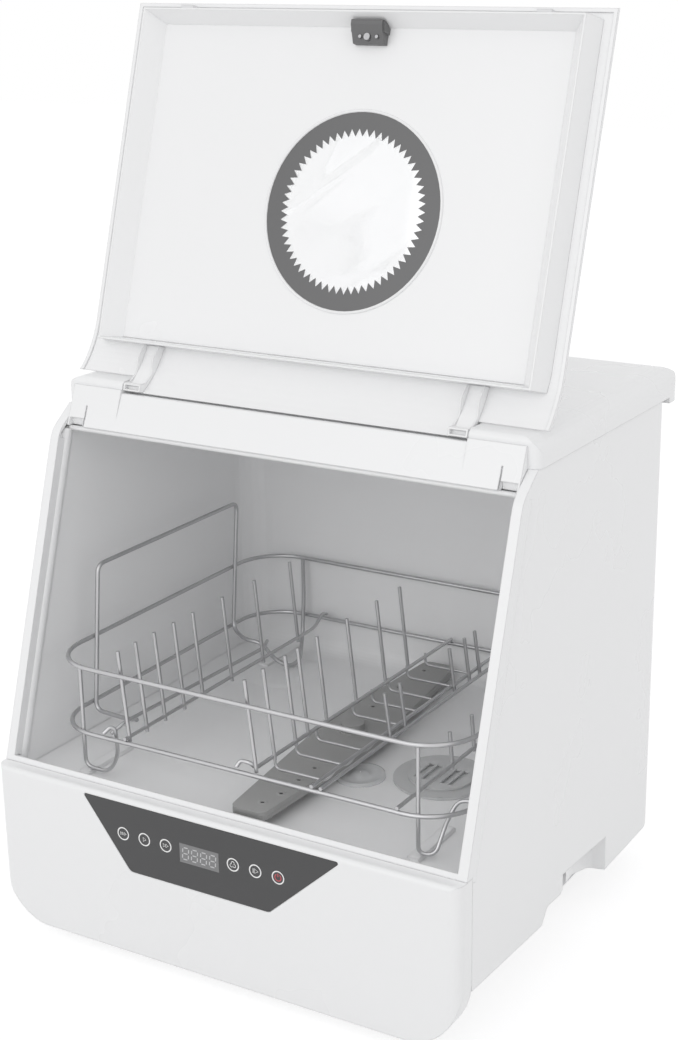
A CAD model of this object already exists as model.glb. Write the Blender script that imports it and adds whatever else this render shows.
import math
import bpy
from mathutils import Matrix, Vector


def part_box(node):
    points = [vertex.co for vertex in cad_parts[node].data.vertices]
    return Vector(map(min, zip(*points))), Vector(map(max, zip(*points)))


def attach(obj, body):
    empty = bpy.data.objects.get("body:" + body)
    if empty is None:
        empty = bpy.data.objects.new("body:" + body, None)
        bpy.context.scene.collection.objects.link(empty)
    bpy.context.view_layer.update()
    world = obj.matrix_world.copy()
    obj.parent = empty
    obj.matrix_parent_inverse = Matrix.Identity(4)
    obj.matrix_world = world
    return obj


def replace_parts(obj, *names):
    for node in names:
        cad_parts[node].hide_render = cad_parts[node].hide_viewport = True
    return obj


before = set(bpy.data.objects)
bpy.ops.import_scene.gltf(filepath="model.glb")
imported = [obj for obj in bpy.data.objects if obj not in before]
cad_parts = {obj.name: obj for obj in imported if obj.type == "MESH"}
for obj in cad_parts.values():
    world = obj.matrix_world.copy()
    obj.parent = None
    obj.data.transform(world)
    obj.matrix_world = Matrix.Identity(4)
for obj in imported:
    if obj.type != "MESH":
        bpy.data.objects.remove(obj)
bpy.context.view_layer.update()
world_scene = bpy.context.scene
world_scene.view_settings.view_transform = "Standard"

# --- Camera ---------------------------------------------------------------
# The maker's bench camera: a long lens, above the ledge and to the right of
# the machine, looking down into the open tub.
camera_spot = (0.7030, -1.1373, 0.7465)
camera_dip, camera_turn = 17.531, 28.666
bench_lens = bpy.data.cameras.new("bench_lens")
bench_lens.sensor_fit = "VERTICAL"
bench_lens.sensor_height = 36.0
bench_lens.lens = 60.22
bench_lens.shift_x = -0.0878
bench_lens.clip_end = 60.0
bench_camera = bpy.data.objects.new("bench_camera", bench_lens)
bench_camera.location = camera_spot
bench_camera.rotation_euler = (math.radians(90 - camera_dip), 0, math.radians(camera_turn))
world_scene.collection.objects.link(bench_camera)
world_scene.camera = bench_camera


# --- Room and lamps -------------------------------------------------------
# A white room with one big soft lamp above the front left, a weaker one on the
# right and a pale floor that carries the machine's soft shadow.
class Spread:
    """A value that varies over a surface. Sums on it add Math nodes; node() adds any other node."""

    def __init__(self, tree, socket=None):
        self.tree = tree
        self.socket = socket

    def node(self, kind, settings=None, sockets=None, out=0):
        made = self.tree.nodes.new(kind)
        for name, setting in (settings or {}).items():
            setattr(made, name, setting)
        for name, given in (sockets or {}).items():
            if isinstance(given, Spread):
                self.tree.links.new(given.socket, made.inputs[name])
            else:
                made.inputs[name].default_value = given
        return Spread(self.tree, made.outputs[out]) if len(made.outputs) else None

    def sum(self, kind, a, b, clamp=False):
        return self.node("ShaderNodeMath", {"operation": kind, "use_clamp": clamp}, {0: a, 1: b})

    def __add__(self, other):
        return self.sum("ADD", self, other)

    __radd__ = __add__

    def __mul__(self, other):
        return self.sum("MULTIPLY", self, other)

    __rmul__ = __mul__


def shown_part(tree):
    """1 on rays that show a surface, plainly, in a gloss or through a pane, and 0 on those that light."""
    seen_rays = tree.node("ShaderNodeLightPath", out="Is Camera Ray")
    gloss_rays = tree.node("ShaderNodeLightPath", out="Is Glossy Ray")
    clear_rays = tree.node("ShaderNodeLightPath", out="Is Transmission Ray")
    return tree.sum("ADD", seen_rays + gloss_rays, clear_rays, clamp=True)


pure_white = (1.0, 1.0, 1.0, 1.0)
fill_strength = 0.83
shown_extra = 0.17
white_room = bpy.data.worlds.new("white_room")
world_scene.world = white_room
white_room.use_nodes = True
white_room.node_tree.nodes.clear()
room = Spread(white_room.node_tree)
room_light = shown_part(room) * shown_extra + fill_strength
walls = room.node("ShaderNodeBackground", sockets={"Color": pure_white, "Strength": room_light})
room.node("ShaderNodeOutputWorld", sockets={"Surface": walls})


def soft_lamp(name, place, aim, wide, tall, watts):
    lamp = bpy.data.lights.new(name, "AREA")
    lamp.shape = "RECTANGLE"
    lamp.size = wide
    lamp.size_y = tall
    lamp.energy = watts
    stand = bpy.data.objects.new(name, lamp)
    stand.location = place
    stand.rotation_euler = (Vector(aim) - Vector(place)).to_track_quat("-Z", "Y").to_euler()
    world_scene.collection.objects.link(stand)


soft_lamp("front_softbox", (-0.2, -2.4, 1.4), (0, 0, 0.25), 2.2, 1.6, 11)
soft_lamp("right_softbox", (2.2, -0.6, 1.1), (0, 0, 0.35), 1.4, 1.6, 2)

floor_reach = 7.0
floor_corners = [(x * floor_reach, y * floor_reach, 0) for x, y in ((-1, -1), (1, -1), (1, 1), (-1, 1))]
floor_mesh = bpy.data.meshes.new("pale_floor")
floor_mesh.from_pydata(floor_corners, [], [(0, 1, 2, 3)])
pale_floor = bpy.data.objects.new("pale_floor", floor_mesh)
world_scene.collection.objects.link(pale_floor)
floor_paint = bpy.data.materials.new("floor_paint")
floor_paint.use_nodes = True
floor_paint.node_tree.nodes.clear()
ground = Spread(floor_paint.node_tree)
floor_shown = shown_part(ground)
matt_white = ground.node("ShaderNodeBsdfDiffuse", sockets={"Color": (0.82, 0.82, 0.82, 1.0)})
shadow_part = ground.node("ShaderNodeBsdfDiffuse", sockets={"Color": (0.30, 0.30, 0.305, 1.0)})
bright_part = ground.node("ShaderNodeEmission", sockets={"Color": pure_white, "Strength": 0.80})
shown_white = ground.node("ShaderNodeAddShader", sockets={0: shadow_part, 1: bright_part})
floor_mix = ground.node("ShaderNodeMixShader", sockets={"Fac": floor_shown, 1: matt_white, 2: shown_white})
ground.node("ShaderNodeOutputMaterial", sockets={"Surface": floor_mix})
floor_mesh.materials.append(floor_paint)


# --- White mouldings ------------------------------------------------------
# The casing, fascia and top cover are glossy white ABS from polished moulds,
# with a faint orange peel. The base pan, the rear panel and the boxes screwed
# to them are plain grey.
def finish_tree(name):
    finish = bpy.data.materials.new(name)
    finish.use_nodes = True
    finish.node_tree.nodes.clear()
    return finish, Spread(finish.node_tree)


def noise(surface, place, scale, detail=2.0):
    """Even noise from 0 to 1. A larger scale gives finer spots."""
    sockets = {"Vector": place, "Scale": scale, "Detail": detail}
    return surface.node("ShaderNodeTexNoise", None, sockets, "Fac")


def clouded(surface, cloud, shade, depth):
    """The shade, darkened to its share depth where the cloud is low."""
    darker = (*[part * depth for part in shade], 1.0)
    sockets = {0: cloud, 6: darker, 7: (*shade, 1.0)}
    return surface.node("ShaderNodeMix", {"data_type": "RGBA"}, sockets, out=2)


def finished(finish, surface, shader):
    surface.node("ShaderNodeOutputMaterial", None, {"Surface": shader})
    return finish


def moulded(name, shade, gloss, peel=0.05, peel_scale=900.0, edge=0.0012, cloud_scale=9.0, depth=0.985):
    """A moulded plastic: clouded colour and gloss, fine peel in the normal, and softened edges."""
    finish, surface = finish_tree(name)
    place = surface.node("ShaderNodeTexCoord", out="Object")
    cloud = noise(surface, place, cloud_scale, 3.0)
    grain = noise(surface, place, peel_scale, 1.0)
    soft_edge = surface.node("ShaderNodeBevel", {"samples": 4}, {"Radius": edge})
    peel_sockets = {"Strength": peel, "Distance": 0.0002, "Height": grain, "Normal": soft_edge}
    bump = surface.node("ShaderNodeBump", None, peel_sockets)
    tint = clouded(surface, cloud, shade, depth)
    body_sockets = {"Base Color": tint, "Roughness": cloud * 0.08 + gloss, "Normal": bump}
    return finished(finish, surface, surface.node("ShaderNodeBsdfPrincipled", None, body_sockets))


def dress(finish, *names):
    for name in names:
        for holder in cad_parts[name].material_slots:
            holder.material = finish


casing_white = moulded("casing_white", (0.89, 0.893, 0.90), 0.24)
dress(casing_white, "casing", "front_fascia", "top_cover")
pan_grey = moulded("pan_grey", (0.66, 0.66, 0.67), 0.45, peel=0.2, peel_scale=500.0)
dress(pan_grey, "base_pan", "rear_panel", "board_box", "inlet_valve", "level_sensor")


# --- Tub ------------------------------------------------------------------
# One satin white moulding, hung behind the front strips on a soft seal. Its
# floor has a shallow raised field with soft edges under each side of the rack.
tub_white = moulded("tub_white", (0.90, 0.902, 0.908), 0.34, peel=0.1, peel_scale=420.0, edge=0.003)
dress(tub_white, "tub")
seal_grey = moulded("seal_grey", (0.46, 0.46, 0.47), 0.55, peel=0.3, peel_scale=700.0)
dress(seal_grey, "tub_seal")

tub_top_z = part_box("tub")[1].z
rack_low, rack_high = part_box("rack_frame")
cup_over_floor = 0.0023
tub_floor_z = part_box("filter_cup")[1].z - cup_over_floor


def new_piece(name, shape, finish, body):
    """Hangs a mesh or curve on its body, with its finish and the slot that it stands for."""
    shape.materials.append(finish)
    piece = bpy.data.objects.new(name, shape)
    world_scene.collection.objects.link(piece)
    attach(piece, body)
    return piece


def mesh_piece(name, verts, faces, finish, body, smooth=True):
    shape = bpy.data.meshes.new(name)
    shape.from_pydata(verts, [], faces)
    if smooth:
        shape.shade_smooth()
    new_piece(name, shape, finish, body)


def round_field(x0, y0, x1, y1, radius, inset=0.0, steps=7):
    """A rectangle's outline with round corners, drawn in by inset."""
    loop = []
    for cx, cy, turn in (
        (x1 - radius, y1 - radius, 0),
        (x0 + radius, y1 - radius, 90),
        (x0 + radius, y0 + radius, 180),
        (x1 - radius, y0 + radius, 270),
    ):
        for step in range(steps):
            a = math.radians(turn + 90 * step / (steps - 1))
            loop.append((cx + (radius - inset) * math.cos(a), cy + (radius - inset) * math.sin(a)))
    return loop


field_round, field_rise = 0.020, 0.0012
field_rings = 7
field_slope_share = 0.55
floor_lift = 0.0001


def raised_field(name, corners):
    """A shallow pad on the tub's floor with an S-shaped edge."""
    verts, faces = [], []
    for ring in range(field_rings):
        t = ring / (field_rings - 1)
        rise = field_rise * (3 * t * t - 2 * t * t * t)
        for x, y in round_field(*corners, field_round, inset=t * field_round * field_slope_share):
            verts.append((x, y, tub_floor_z + floor_lift + rise))
    count = len(verts) // field_rings
    for start in range(0, len(verts) - count, count):
        for i in range(count):
            j = (i + 1) % count
            faces.append((start + i, start + j, start + count + j, start + count + i))
    faces.append(tuple(range(len(verts) - count, len(verts))))
    mesh_piece(name, verts, faces, tub_white, "cabinet")


field_in_x, field_out_x = 0.100, 0.166
field_front_y, field_back_y = rack_high.y - 0.098, rack_high.y - 0.020
raised_field("left_field", (-field_out_x, field_front_y, -field_in_x, field_back_y))
raised_field("right_field", (field_in_x, field_front_y, field_out_x, field_back_y))


# --- Opening's edges ------------------------------------------------------
# The tub's roof ends in an upstand behind the visor. Each side of the opening
# has a lining whose inner edge is rolled into a bead, and a grey strike for
# the lid's latch is set in the sill.
strike_grey = moulded("strike_grey", (0.35, 0.35, 0.36), 0.4, peel=0.2)
dress(strike_grey, "latch_strike")

slope_angle = math.radians(17.5)
slope_foot_y, ledge_z = -0.181, 0.142


def on_slope(along, deep):
    """A point's y and z, a distance up the front's slope and another behind it."""
    return (
        slope_foot_y + along * math.sin(slope_angle) + deep * math.cos(slope_angle),
        ledge_z + along * math.cos(slope_angle) - deep * math.sin(slope_angle),
    )


def strip(name, half_wide, section, finish, body):
    """A closed section of (y, z) points, drawn out along X."""
    count = len(section)
    verts = [(x, y, z) for x in (-half_wide, half_wide) for y, z in section]
    faces = [(i, (i + 1) % count, count + (i + 1) % count, count + i) for i in range(count)]
    faces += [tuple(reversed(range(count))), tuple(range(count, 2 * count))]
    mesh_piece(name, verts, faces, finish, body, smooth=False)


upstand_half_wide, upstand_thick = 0.2010, 0.0015
upstand_y, upstand_foot_z, upstand_top_z = -0.0892, tub_top_z - 0.0025, 0.3992
upstand_back_y = upstand_y + upstand_thick
upstand = [(upstand_y, upstand_foot_z), (upstand_back_y, upstand_foot_z)]
upstand += [(upstand_back_y, upstand_top_z), (upstand_y, upstand_top_z)]
strip("roof_upstand", upstand_half_wide, upstand, tub_white, "cabinet")


def tube(name, routes, thick, finish, body, closed=False):
    """One piece of round rods, each route a list of points."""
    drawn = bpy.data.curves.new(name, "CURVE")
    drawn.dimensions = "3D"
    drawn.bevel_depth = thick / 2
    drawn.bevel_resolution = 3
    drawn.use_fill_caps = True
    for route in routes:
        run = drawn.splines.new("POLY")
        run.points.add(len(route) - 1)
        for point, spot in zip(run.points, route):
            point.co = (*spot, 1.0)
        run.use_cyclic_u = closed
    return new_piece(name, drawn, finish, body)


bead_x, bead_deep, bead_thick = 0.2045, 0.0120, 0.0108
bead_ends = (-0.001, 0.270)
beads = [[(side * bead_x, *on_slope(along, bead_deep)) for along in bead_ends] for side in (-1, 1)]
tube("lining_beads", beads, bead_thick, casing_white, "cabinet")


# --- Machine room ---------------------------------------------------------
# Dark moulded pumps, sump and fittings on the base pan, a steel heater, plain
# steel screws, and rubber feet pushed into the pan from below.
rubber = moulded("rubber", (0.028, 0.028, 0.030), 0.62, peel=0.5, peel_scale=1300.0)
dress(rubber, "rubber_feet")
dark_plastic = moulded("dark_plastic", (0.045, 0.045, 0.048), 0.42, peel=0.3, peel_scale=900.0)
dress(dark_plastic, "door_switch", "sump", "wash_pump", "drain_pump")
dress(dark_plastic, "inlet_fitting", "drain_fitting", "power_inlet")


def drawn_steel(name, shade, gloss, along=(1.0, 1.0, 1.0)):
    """Steel with fine marks, longer in one direction."""
    finish, surface = finish_tree(name)
    place = surface.node("ShaderNodeTexCoord", out="Object")
    stretched = surface.node("ShaderNodeMapping", None, {"Vector": place, "Scale": along})
    marks = noise(surface, stretched, 600.0)
    cloud = noise(surface, place, 30.0)
    bump = surface.node("ShaderNodeBump", None, {"Strength": 0.12, "Distance": 0.0001, "Height": marks})
    tint = clouded(surface, cloud, shade, 0.86)
    sockets = {"Base Color": tint, "Metallic": 1.0, "Roughness": marks * 0.16 + gloss, "Normal": bump}
    return finished(finish, surface, surface.node("ShaderNodeBsdfPrincipled", None, sockets))


plain_steel = drawn_steel("plain_steel", (0.48, 0.48, 0.49), 0.28)
dress(plain_steel, "base_screws", "rear_screws", "latch_screw", "latch_pins")
brushed_steel = drawn_steel("brushed_steel", (0.56, 0.56, 0.57), 0.3, (0.05, 1.0, 1.0))
dress(brushed_steel, "water_heater")


# --- Hoses ----------------------------------------------------------------
# Black EPDM hoses, pushed over the spigots of pumps, heater and valve, with
# the fine rings that the braid leaves in their cover.
def ribbed_rubber(name, shade):
    finish, surface = finish_tree(name)
    place = surface.node("ShaderNodeTexCoord", out="Object")
    ring_sockets = {"Vector": place, "Scale": 160.0}
    rings = surface.node("ShaderNodeTexWave", {"bands_direction": "DIAGONAL"}, ring_sockets, "Fac")
    grain = noise(surface, place, 900.0)
    ribs = rings + grain * 0.4
    bump = surface.node("ShaderNodeBump", None, {"Strength": 0.5, "Distance": 0.0004, "Height": ribs})
    sockets = {"Base Color": (*shade, 1.0), "Roughness": grain * 0.2 + 0.45, "Normal": bump}
    return finished(finish, surface, surface.node("ShaderNodeBsdfPrincipled", None, sockets))


hose_rubber = ribbed_rubber("hose_rubber", (0.022, 0.022, 0.024))
dress(hose_rubber, "wash_hose", "spray_hose", "inlet_hose", "drain_hose", "sump_drain_hose", "heater_hose")


# --- Circuit boards -------------------------------------------------------
# Green solder mask over copper tracks, which show through as paler lines. The
# boards stand on short posts, in a box on the pan and behind the display.
def circuit_board(name):
    finish, surface = finish_tree(name)
    place = surface.node("ShaderNodeTexCoord", out="Object")
    tracks = surface.node(
        "ShaderNodeTexBrick",
        {"offset": 0.5},
        {
            "Vector": place,
            "Color1": (0.010, 0.075, 0.030, 1.0),
            "Color2": (0.014, 0.105, 0.042, 1.0),
            "Mortar": (0.040, 0.20, 0.075, 1.0),
            "Scale": 60.0,
            "Mortar Size": 0.03,
        },
    )
    bump = surface.node("ShaderNodeBump", None, {"Strength": 0.3, "Distance": 0.0002, "Height": tracks})
    sockets = {"Base Color": tracks, "Roughness": 0.3, "Normal": bump}
    return finished(finish, surface, surface.node("ShaderNodeBsdfPrincipled", None, sockets))


board_green = circuit_board("board_green")
dress(board_green, "display_board", "main_board")


# --- Control panel --------------------------------------------------------
# A smooth dark grey overlay, glued to the fascia. Six touch marks are printed
# on it in white, the power mark in red, and its window has four dim digits.
overlay_shade, display_shade = (0.066, 0.066, 0.068), (0.235, 0.235, 0.24)
overlay_grey = moulded(
    "overlay_grey", overlay_shade, 0.42, peel=0.06, peel_scale=1500.0, edge=0.0003, depth=0.9
)
dress(overlay_grey, "control_panel")
display_grey = moulded(
    "display_grey", display_shade, 0.3, peel=0.04, edge=0.0002, cloud_scale=60.0, depth=0.85
)
dress(display_grey, "display_window")
print_white = moulded("print_white", (0.88, 0.88, 0.88), 0.5, peel=0.2, edge=0.0)
print_red = moulded("print_red", (0.62, 0.10, 0.12), 0.5, peel=0.2, edge=0.0)
digit_grey = moulded("digit_grey", (0.58, 0.58, 0.59), 0.5, peel=0.1, edge=0.0)

ink_lift = 0.00005
print_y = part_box("control_panel")[0].y - ink_lift
display_low, display_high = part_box("display_window")
digit_z = (display_low.z + display_high.z) / 2
mark_rise = 0.0021
mark_z = digit_z + mark_rise
mark_ring, ring_line = 0.0050, 0.0010
white_line, red_line, loop_line = 0.0006, 0.0007, 0.0005


class Print:
    """Flat printed lines on the panel's face, gathered into one piece."""

    def __init__(self, y):
        self.y = y
        self.verts = []
        self.faces = []

    def quad(self, a, b, c, d):
        start = len(self.verts)
        self.verts += [(x, self.y, z) for x, z in (a, b, c, d)]
        self.faces.append((start, start + 1, start + 2, start + 3))

    def line(self, points, wide, closed=False):
        """A line of even width through the points, mitred at its corners."""
        count = len(points)
        left, right = [], []
        for i, (x, z) in enumerate(points):
            before = points[i - 1] if i or closed else points[i]
            after = points[(i + 1) % count] if i + 1 < count or closed else points[i]
            along = Vector((after[0] - before[0], after[1] - before[1])).normalized()
            left.append((x - along.y * wide / 2, z + along.x * wide / 2))
            right.append((x + along.y * wide / 2, z - along.x * wide / 2))
        for i in range(count if closed else count - 1):
            j = (i + 1) % count
            self.quad(right[i], right[j], left[j], left[i])

    def arc(self, cx, cz, radius, wide, start=0.0, end=360.0, steps=40):
        whole = end - start >= 360
        points = []
        for step in range(steps):
            a = math.radians(start + (end - start) * step / (steps if whole else steps - 1))
            points.append((cx + radius * math.cos(a), cz + radius * math.sin(a)))
        self.line(points, wide, closed=whole)

    def piece(self, name, finish, slot):
        mesh_piece(name, self.verts, self.faces, finish, "cabinet", smooth=False)


marks = Print(print_y)
red_marks = Print(print_y)


def arrow(x, size):
    """A triangle that points to the right, at a mark's height."""
    back_x, half_tall = x - size * 0.4, size * 0.55
    corners = [(back_x, mark_z - half_tall), (x + size * 0.5, mark_z), (back_x, mark_z + half_tall)]
    marks.line(corners, white_line, closed=True)


mark_xs = (-0.0834, -0.0632, -0.0430, 0.0189, 0.0389, 0.0590)
fast_x, start_x, next_x, mode_x, pause_x, power_x = mark_xs
for x in mark_xs:
    marks.arc(x, mark_z, mark_ring, ring_line)
for step in (-1, 0, 1):
    arrow(fast_x + step * 0.0017, 0.0022)
arrow(start_x + 0.0002, 0.0030)
for step in (-1, 1):
    arrow(next_x + step * 0.0012, 0.0026)
loop_out, loop_round = 0.0014, 0.0013
for turn in (90, 210, 330):
    a = math.radians(turn)
    loop_x, loop_z = mode_x + loop_out * math.cos(a), mark_z + loop_out * math.sin(a)
    marks.arc(loop_x, loop_z, loop_round, loop_line, steps=20)
pause_bar_x, pause_half = pause_x - 0.0018, 0.0020
marks.line([(pause_bar_x, mark_z - pause_half), (pause_bar_x, mark_z + pause_half)], white_line)
arrow(pause_x + 0.0008, 0.0034)
power_round, power_foot, power_top = 0.0027, 0.0005, 0.0034
red_marks.arc(power_x, mark_z, power_round, red_line, 120, 420)
red_marks.line([(power_x, mark_z + power_foot), (power_x, mark_z + power_top)], red_line)
marks.piece("touch_marks", print_white, "panel_dark")
red_marks.piece("power_mark", print_red, "panel_dark")

# Seven bars a digit, slanted a little as such displays are
digits = Print(display_low.y - ink_lift)
digit_half_tall, digit_half_wide = 0.0049, 0.0027
digit_pitch, digit_bar, digit_slant = 0.0083, 0.0009, 0.08
bar_x, bar_top = digit_half_wide - digit_bar, digit_half_tall - digit_bar
for place in range(4):
    digit_x = (display_low.x + display_high.x) / 2 + (place - 1.5) * digit_pitch
    for z in (-digit_half_tall, 0.0, digit_half_tall):
        bar_mid = digit_x + z * digit_slant
        digits.line([(bar_mid - bar_x, digit_z + z), (bar_mid + bar_x, digit_z + z)], digit_bar)
    for x in (-digit_half_wide, digit_half_wide):
        for heights in ((-bar_top, -digit_bar), (digit_bar, bar_top)):
            ends = [(digit_x + x + z * digit_slant, digit_z + z) for z in heights]
            digits.line(ends, digit_bar)
digits.piece("display_digits", digit_grey, "display_glass")


# --- Lid ------------------------------------------------------------------
# A glossy white shell and inner tray hold a round window: two clear panes and
# a printed grey ring with a toothed inner edge. A grey latch block is screwed
# to the tray's free edge, between two soft bumpers.
lid_white = moulded("lid_white", (0.90, 0.902, 0.908), 0.22)
dress(lid_white, "lid_shell", "lid_tray", "hinge_arms")
latch_grey = moulded("latch_grey", (0.15, 0.15, 0.152), 0.45, peel=0.2, edge=0.0005)
dress(latch_grey, "lid_latch")
bumper_pale = moulded("bumper_pale", (0.78, 0.78, 0.79), 0.6, peel=0.3, peel_scale=700.0)
dress(bumper_pale, "lid_bumpers")


def clear_plastic(name, tint):
    """A see-through pane with the faint smears of polishing in its gloss."""
    finish, surface = finish_tree(name)
    place = surface.node("ShaderNodeTexCoord", out="Object")
    smear = noise(surface, place, 25.0, 3.0)
    sockets = {"Base Color": (*tint, 1.0), "Roughness": smear * 0.05, "IOR": 1.47, "Transmission Weight": 1.0}
    return finished(finish, surface, surface.node("ShaderNodeBsdfPrincipled", None, sockets))


window_clear = clear_plastic("window_clear", (0.945, 0.947, 0.95))
dress(window_clear, "window_outer_pane", "window_inner_pane")


def ring_print():
    """Dark grey print under a satin lacquer that is a little duller towards the right."""
    finish, surface = finish_tree("ring_print")
    place = surface.node("ShaderNodeTexCoord", out="Object")
    across = surface.node("ShaderNodeSeparateXYZ", None, {"Vector": place}, "X")
    cloud = noise(surface, place, 14.0)
    lacquer = cloud * 0.1 + 0.3 + across * 0.1
    sockets = {"Base Color": (0.145, 0.145, 0.147, 1.0), "Metallic": 0.35, "Roughness": lacquer}
    return finished(finish, surface, surface.node("ShaderNodeBsdfPrincipled", None, sockets))


dress(ring_print(), "window_mask")

# The thin white lip that frames the window in the tray
lip_thick, lip_gap = 0.0024, 0.0008
lip_steps = 72
mask_low, mask_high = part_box("window_mask")
mask_centre = (mask_low + mask_high) / 2
mask_radius = (mask_high.x - mask_low.x) / 2
tray_up = Vector((0, mask_high.y - mask_low.y, mask_high.z - mask_low.z)).normalized()
lip_points = []
for step in range(lip_steps):
    a = 2 * math.pi * step / lip_steps
    spoke = Vector((math.cos(a), 0, 0)) + tray_up * math.sin(a)
    lip_points.append(mask_centre + spoke * (mask_radius + lip_gap))
tube("window_lip", [lip_points], lip_thick, lid_white, "lid", closed=True)


# --- Spray arm ------------------------------------------------------------
# Two grey half shells welded into a flat hollow arm that turns on the post,
# with a low boss moulded round each jet.
arm_grey = moulded("arm_grey", (0.37, 0.37, 0.368), 0.42, peel=0.15, peel_scale=700.0, edge=0.0008)
dress(arm_grey, "spray_arm_lower", "spray_arm_upper", "spray_arm_cap", "spray_post")


def lathe(name, profile, centres, finish, body, steps=48):
    """Turns a profile of (radius, height) points round a vertical axis, at each centre."""
    verts, faces = [], []
    for cx, cy, cz in centres:
        first = len(verts)
        for step in range(steps):
            a = 2 * math.pi * step / steps
            verts += [(cx + r * math.cos(a), cy + r * math.sin(a), cz + h) for r, h in profile]
        count = len(profile)
        for step in range(steps):
            here, there = first + step * count, first + (step + 1) % steps * count
            faces += [(here + i, there + i, there + i + 1, here + i + 1) for i in range(count - 1)]
    mesh_piece(name, verts, faces, finish, body)


hub_step = 0.001
face_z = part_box("spray_arm_upper")[1].z - hub_step
arm_turn = math.radians(1.6)
post_low, post_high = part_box("spray_post")
hub_x, hub_y = ((post_low + post_high) / 2).xy
front_out, rear_out = 0.009, -0.008
tip_starts, tip_runs = 0.130, 0.030
jets = []
for along in (-0.146, -0.127, -0.101, -0.077, 0.026, 0.049, 0.096, 0.120, 0.140):
    out = (front_out if along < 0 else rear_out) * (1 - max(0, abs(along) - tip_starts) / tip_runs)
    jet_x = hub_x + out * math.cos(arm_turn) - along * math.sin(arm_turn)
    jet_y = hub_y + out * math.sin(arm_turn) + along * math.cos(arm_turn)
    jets.append((jet_x, jet_y, face_z))
boss = [(0.0016, -0.0006), (0.0017, 0.0003), (0.0022, 0.0006), (0.0030, 0.0004), (0.0044, -0.0001)]
lathe("jet_bosses", boss, jets, arm_grey, "spray_arm", steps=28)
jet_dark = moulded("jet_dark", (0.02, 0.02, 0.021), 0.6, peel=0.2)
mouth = [(0.0001, -0.0003), (0.0016, -0.0003)]
lathe("jet_mouths", mouth, jets, jet_dark, "spray_arm", steps=20)


# --- Rack -----------------------------------------------------------------
# Bent and welded stainless wires: two rails with round corners, long bars,
# tines for plates and cutlery, a tall handle on the left and J-shaped feet.
wire_steel = drawn_steel("wire_steel", (0.60, 0.60, 0.61), 0.27)
bend_share = 0.48


def bent(points, radius, steps=6):
    """A wire's points with its corners bent round the radius, or tighter next to a short straight."""
    points = [Vector(p) for p in points]
    route = [points[0]]
    for before, corner, after in zip(points, points[1:], points[2:]):
        to_before, to_after = before - corner, after - corner
        reach = min(radius, to_before.length * bend_share, to_after.length * bend_share)
        start, end = corner + to_before.normalized() * reach, corner + to_after.normalized() * reach
        for step in range(steps + 1):
            t = step / steps
            route.append(start * (1 - t) ** 2 + corner * (2 * t * (1 - t)) + end * t**2)
    route.append(points[-1])
    return route


def wires(name, routes, thick, stands_for, closed=False):
    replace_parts(tube(name, routes, thick, wire_steel, "rack", closed), *stands_for)


thick_wire, thin_wire, cross_wire = 0.0037, 0.0032, 0.0024
rail_inset, rail_round = 0.002, 0.042
side_x = rack_high.x - rail_inset
front_y, back_y = rack_low.y + rail_inset, rack_high.y - rail_inset
low_z, top_z = rack_low.z + rail_inset, rack_high.z - rail_inset
bar_z = low_z + (thick_wire + thin_wire) / 2
foot_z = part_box("rack_feet")[0].z + thin_wire / 2
sill_y = front_y - 0.027
bar_bend, leg_bend = 0.006, 0.008


def rail_loop(z):
    return [(x, y, z) for x, y in round_field(-side_x, front_y, side_x, back_y, rail_round, steps=12)]


wires("rack_rails", [rail_loop(low_z), rail_loop(top_z)], thick_wire, ["rack_frame"], closed=True)

# Long bars on the lower rail, with their places counted back from the sill.
# The middle one curls over the front rail, and the short one on the left
# joins the handle.
side_bar_x, inner_bar_x, middle_x, row_x, right_x = -0.128, -0.108, 0.011, 0.068, 0.138
long_bars = [
    [
        (side_bar_x - 0.005, sill_y + 0.040, bar_z - 0.006),
        (side_bar_x - 0.001, sill_y + 0.052, bar_z),
        (side_bar_x + 0.007, sill_y + 0.240, bar_z),
        (side_bar_x - 0.004, sill_y + 0.262, bar_z - 0.003),
    ],
    [
        (inner_bar_x, front_y - 0.001, bar_z),
        (inner_bar_x, sill_y + 0.304, bar_z),
        (inner_bar_x - 0.005, sill_y + 0.326, bar_z + 0.006),
        (inner_bar_x - 0.008, back_y, bar_z + 0.001),
    ],
    [
        (middle_x - 0.013, front_y - 0.001, bar_z + 0.001),
        (middle_x - 0.011, front_y + 0.002, bar_z + 0.0055),
        (middle_x - 0.002, front_y + 0.002, bar_z + 0.0055),
        (middle_x, front_y + 0.006, bar_z),
        (middle_x + 0.005, back_y + 0.001, bar_z),
    ],
    [(row_x - 0.003, front_y - 0.001, bar_z), (row_x, back_y + 0.001, bar_z)],
    [(row_x + 0.005, front_y - 0.001, bar_z), (row_x + 0.010, back_y + 0.001, bar_z)],
    [(right_x, front_y - 0.001, bar_z), (right_x + 0.004, back_y + 0.001, bar_z)],
]
wires("rack_bar_wires", [bent(route, bar_bend) for route in long_bars], thin_wire, ["rack_bars"])


def tine(x, y, lean, tall, below=0.004):
    """A straight tine that leans off a bar, its foot a little under the bar's middle."""
    sink = -lean * below / tall
    return [(x + sink, sill_y + y, bar_z - below), (x + lean, sill_y + y, bar_z + tall)]


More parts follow.
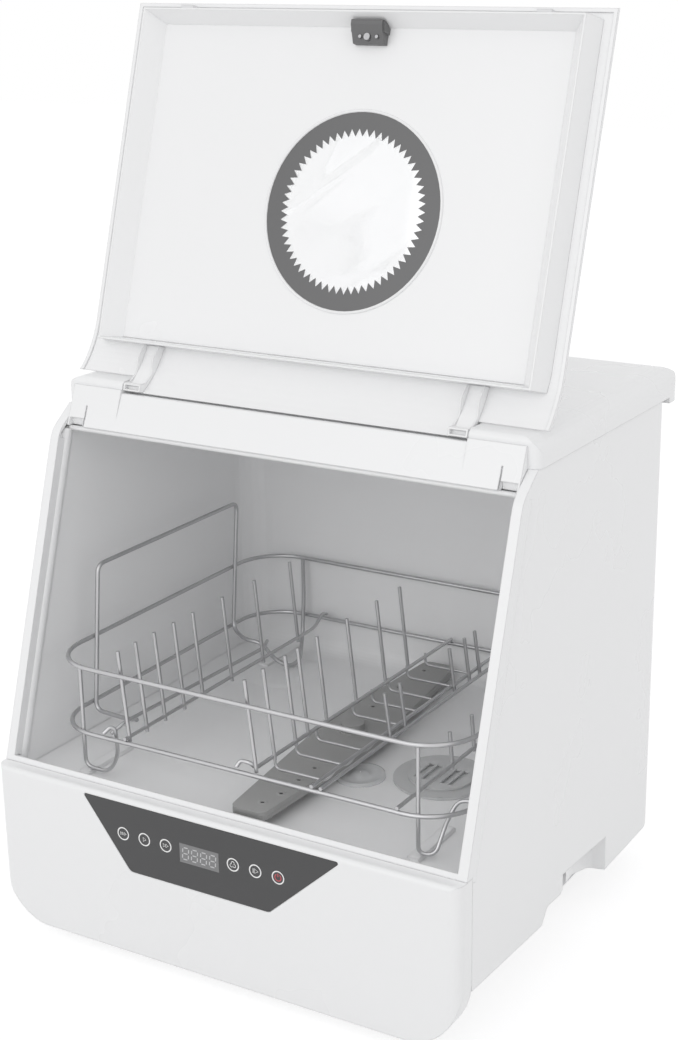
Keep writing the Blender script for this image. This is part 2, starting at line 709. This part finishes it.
plate_tall, cutlery_tall, post_tall = 0.071, 0.035, 0.026
left_rows = (0.032, 0.054, 0.078, 0.104, 0.130, 0.172, 0.220, 0.276)
middle_rows = (0.032, 0.057, 0.087, 0.105, 0.133, 0.179, 0.227, 0.266)
cutlery_rows = (0.133, 0.157, 0.241, 0.268, 0.287)
post_rows = (0.111, 0.147)
left_tines = [tine(inner_bar_x, y, -0.007, plate_tall) for y in left_rows]
middle_tines = [tine(middle_x + 0.001, y, -0.008, plate_tall, 0.003) for y in middle_rows]
cutlery_tines = [tine(row_x + 0.003, y, -0.005, cutlery_tall) for y in cutlery_rows]
cutlery_tines += [tine(right_x, y, -0.002, post_tall) for y in post_rows]
wires("left_tine_wires", left_tines, thin_wire, ["rack_left_tines"])
wires("middle_tine_wires", middle_tines, thin_wire, ["rack_middle_tines"])
wires("cutlery_tine_wires", cutlery_tines, thin_wire, ["rack_cutlery_tines"])

# Hanging cross wires: down from the middle bar, across, and up to the row bars
hang_z = bar_z - 0.0105
cross_routes = []
for y in (0.058, 0.088, 0.118, 0.174, 0.205, 0.233, 0.265, 0.298):
    route = [
        (middle_x + 0.0005, sill_y + y, bar_z),
        (middle_x + 0.001, sill_y + y, hang_z),
        (row_x - 0.010, sill_y + y, hang_z),
        (row_x - 0.003, sill_y + y, bar_z - 0.001),
    ]
    cross_routes.append(bent(route, bar_bend))
wires("cross_wires", cross_routes, cross_wire, ["rack_cross_wires"])

# The handle. Its rear leg runs on into the rear foot and up to the top rail.
grip_low, grip_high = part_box("rack_handle")
grip_x, grip_z = grip_low.x + thick_wire / 2, grip_high.z - thick_wire / 2
rear_leg_x, rear_leg_y = -0.1385, back_y - 0.0037
heel_z = 0.1605
handle = [
    (side_bar_x - 0.001, sill_y + 0.068, bar_z - 0.004),
    (-0.149, sill_y + 0.076, heel_z),
    (grip_x, sill_y + 0.079, heel_z),
    (grip_x, sill_y + 0.092, grip_z),
    (grip_x, sill_y + 0.290, grip_z),
    (grip_x, sill_y + 0.278, heel_z + 0.005),
    (-0.163, sill_y + 0.270, heel_z),
    (-0.146, sill_y + 0.272, heel_z - 0.0005),
    (-0.136, sill_y + 0.280, foot_z + 0.006),
    (-0.124, sill_y + 0.284, foot_z),
    (-0.122, sill_y + 0.300, foot_z + 0.001),
    (-0.138, sill_y + 0.330, 0.150),
    (rear_leg_x, rear_leg_y, top_z - 0.034),
    (rear_leg_x, rear_leg_y, top_z),
]
wires("handle_wire", [bent(handle, leg_bend)], thick_wire, ["rack_handle"])

# Feet bent in a J. The front ones hook over the rail or the side wire.
leg_x = 0.153
front_leg_y, back_leg_y = front_y + 0.0038, back_y - 0.0045
feet = [
    [
        (-leg_x, front_leg_y, top_z),
        (-leg_x, front_leg_y, foot_z),
        (-0.129, front_leg_y - 0.001, foot_z),
        (-0.1215, front_leg_y + 0.0025, 0.150),
        (-0.1215, front_leg_y + 0.001, bar_z + 0.003),
        (-0.1245, front_leg_y - 0.001, bar_z + 0.006),
        (-0.1285, front_leg_y - 0.0055, bar_z + 0.001),
    ],
    [
        (leg_x, front_leg_y, top_z),
        (leg_x, front_leg_y, foot_z),
        (0.165, front_leg_y + 0.004, foot_z),
        (0.167, front_leg_y + 0.018, 0.158),
        (0.171, front_leg_y + 0.028, bar_z),
        (side_x - 0.001, front_leg_y + 0.032, bar_z),
    ],
    [
        (leg_x, back_leg_y, top_z),
        (leg_x, back_leg_y, foot_z),
        (leg_x, back_y - 0.046, foot_z),
        (leg_x, back_y - 0.050, bar_z),
        (side_x - 0.001, back_y - 0.050, bar_z),
    ],
]
wires("foot_wires", [bent(route, leg_bend) for route in feet], thin_wire, ["rack_feet"])


# --- Filter ---------------------------------------------------------------
# A pale translucent cup with a slotted lid and a fine mesh drops through a
# flat plate into the sump, and a clear round cover beside it closes the spray
# arm's feed.
def translucent(name, tint, clear):
    """A milky plastic that lets the given share of the light straight through."""
    finish, surface = finish_tree(name)
    place = surface.node("ShaderNodeTexCoord", out="Object")
    cloud = noise(surface, place, 40.0)
    soft_edge = surface.node("ShaderNodeBevel", {"samples": 4}, {"Radius": 0.0006})
    sockets = {"Base Color": (*tint, 1.0), "Roughness": cloud * 0.1 + 0.25, "Normal": soft_edge}
    milky = surface.node("ShaderNodeBsdfPrincipled", None, sockets)
    see_through = surface.node("ShaderNodeBsdfTransparent", None, {"Color": (0.97, 0.975, 0.98, 1.0)})
    milk_part = cloud * 0.1 + (1 - clear)
    mixed = surface.node("ShaderNodeMixShader", None, {0: milk_part, 1: see_through, 2: milky})
    return finished(finish, surface, mixed)


dress(translucent("cup_milk", (0.80, 0.805, 0.81), 0.12), "filter_cup")
dress(translucent("plate_milk", (0.76, 0.765, 0.77), 0.35), "filter_plate", "filter_grid")


def fine_mesh(name, shade):
    """The woven mesh under the slots, which keeps scraps back."""
    finish, surface = finish_tree(name)
    place = surface.node("ShaderNodeTexCoord", out="Object")
    weave = surface.node("ShaderNodeTexChecker", None, {"Vector": place, "Scale": 1100.0}, "Fac")
    bump = surface.node("ShaderNodeBump", None, {"Strength": 0.15, "Distance": 0.0001, "Height": weave})
    tint = clouded(surface, weave, shade, 0.9)
    sockets = {"Base Color": tint, "Roughness": weave * 0.1 + 0.35, "Normal": bump}
    return finished(finish, surface, surface.node("ShaderNodeBsdfPrincipled", None, sockets))


grid_low, grid_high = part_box("filter_grid")
cup_mid = (grid_low + grid_high) / 2
mesh_eye, mesh_round, mesh_drop = 0.0002, 0.0215, 0.0008
mesh_disc = [(mesh_eye, -mesh_drop), (mesh_round, -mesh_drop)]
mesh_spot = (cup_mid.x, cup_mid.y, grid_low.z)
mesh_grey = fine_mesh("mesh_grey", (0.62, 0.625, 0.63))
lathe("filter_mesh", mesh_disc, [mesh_spot], mesh_grey, "filter")

# The feed cover: a flat knob, a shallow dish round it, and a rolled rim
cover_lift = 0.0002
cover_spot = (0.046, sill_y + 0.128, tub_floor_z + cover_lift)
cover_knob = [(0.0005, 0.0042), (0.006, 0.0042), (0.007, 0.0022)]
cover_dish = [(0.0165, 0.0018), (0.0175, 0.0030)]
cover_rim = [(0.020, 0.0030), (0.0205, 0.0)]
cover_clear = translucent("cover_clear", (0.80, 0.805, 0.81), 0.6)
lathe("feed_cover", cover_knob + cover_dish + cover_rim, [cover_spot], cover_clear, "cabinet")
